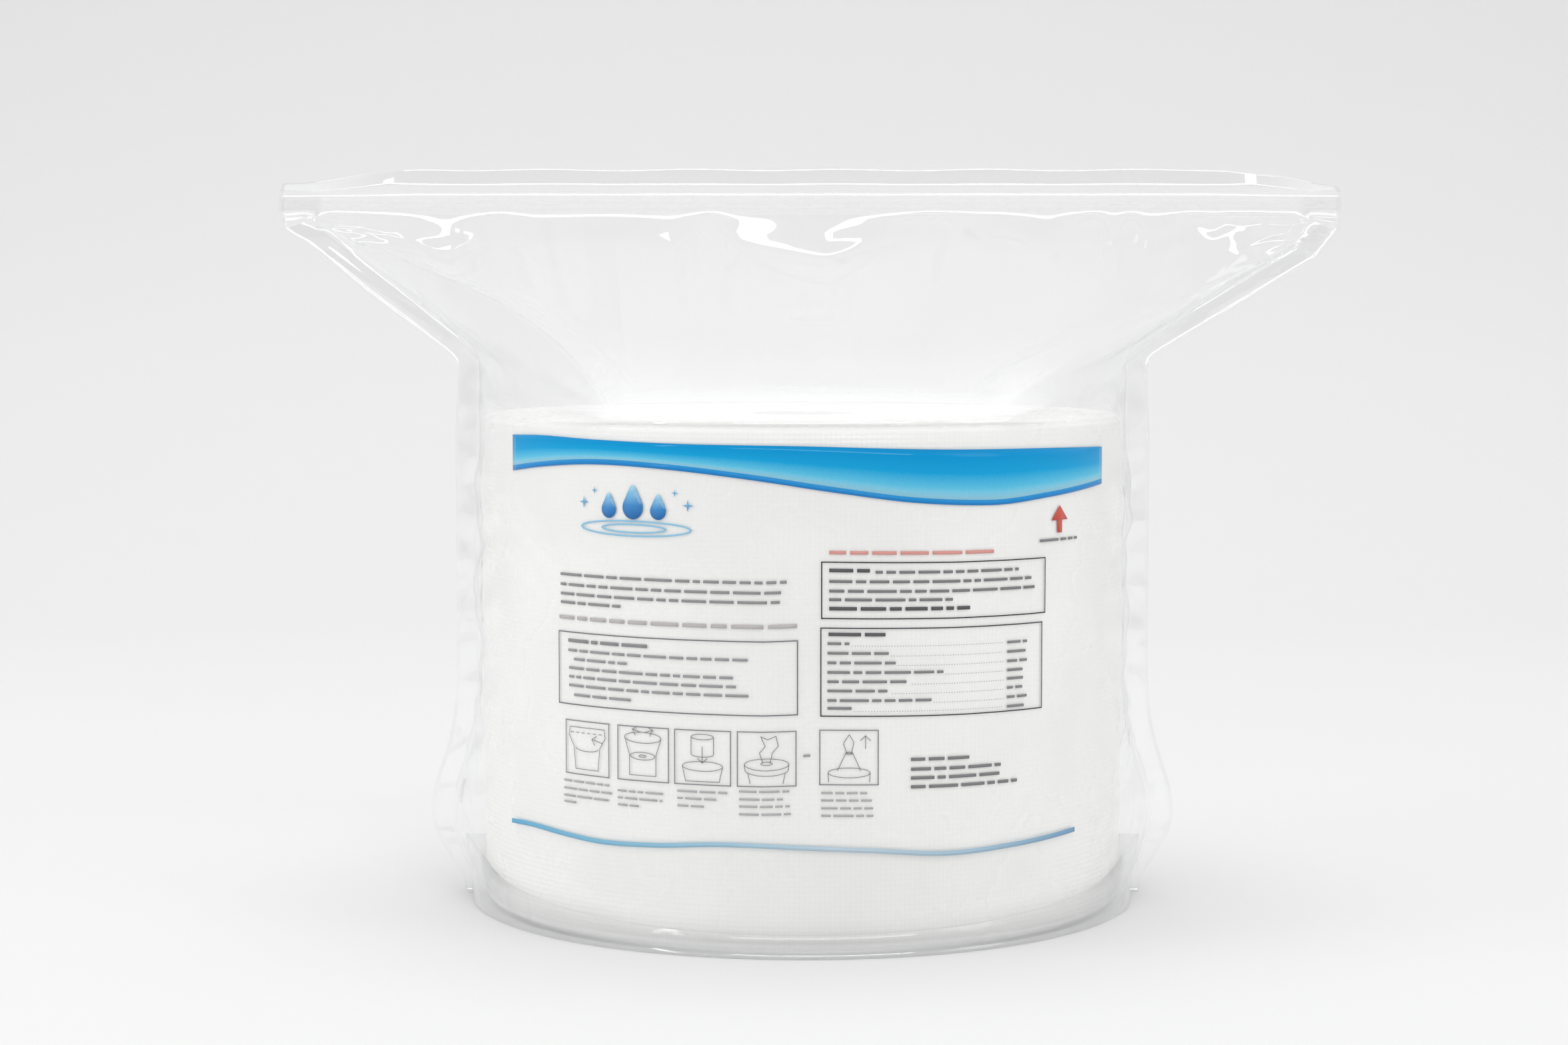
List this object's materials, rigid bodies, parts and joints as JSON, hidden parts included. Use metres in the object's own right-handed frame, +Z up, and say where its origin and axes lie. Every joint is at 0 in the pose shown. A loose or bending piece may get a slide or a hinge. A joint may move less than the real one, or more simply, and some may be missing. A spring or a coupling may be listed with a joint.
{
  "type": "wet wipes pack",
  "caption": "Clear press-to-close stand-up pouch holding one large centre-pull roll of wet wipes, with a printed front film.",
  "frame": {"origin": "on the roll's axis, at the underside of the film floor, where the pack stands", "axes": "+Z up along the roll's axis, +X across the pouch to the right of the print, the printed front faces -Y"},
  "size_m": [0.3374, 0.2112, 0.2331],
  "materials": {
    "nonwoven_roll": "matt white dimpled nonwoven, damp",
    "clear_film": "clear glossy polyethylene film",
    "zip_plastic": "translucent extruded polyethylene",
    "blue_ink": "semi-gloss printed ink",
    "deep_blue_ink": "semi-gloss printed ink",
    "red_ink": "semi-gloss printed ink",
    "grey_ink": "semi-gloss printed ink"
  },
  "bodies": {
    "root": {"wipes_roll": "nonwoven_roll", "front_panel": "clear_film", "back_panel": "clear_film", "bottom_gusset": "clear_film", "zip_rib_strip": "zip_plastic", "zip_groove_strip": "zip_plastic", "blue_band_print": "blue_ink", "blue_band_edge_print": "deep_blue_ink", "blue_wave_print": "blue_ink", "up_arrow_print": "red_ink", "left_text_frame_print": "grey_ink", "upper_text_frame_print": "grey_ink", "lower_text_frame_print": "grey_ink", "picture_frame_1_print": "grey_ink", "picture_frame_2_print": "grey_ink", "picture_frame_3_print": "grey_ink", "picture_frame_4_print": "grey_ink", "picture_frame_5_print": "grey_ink"}
  },
  "joints": []
}
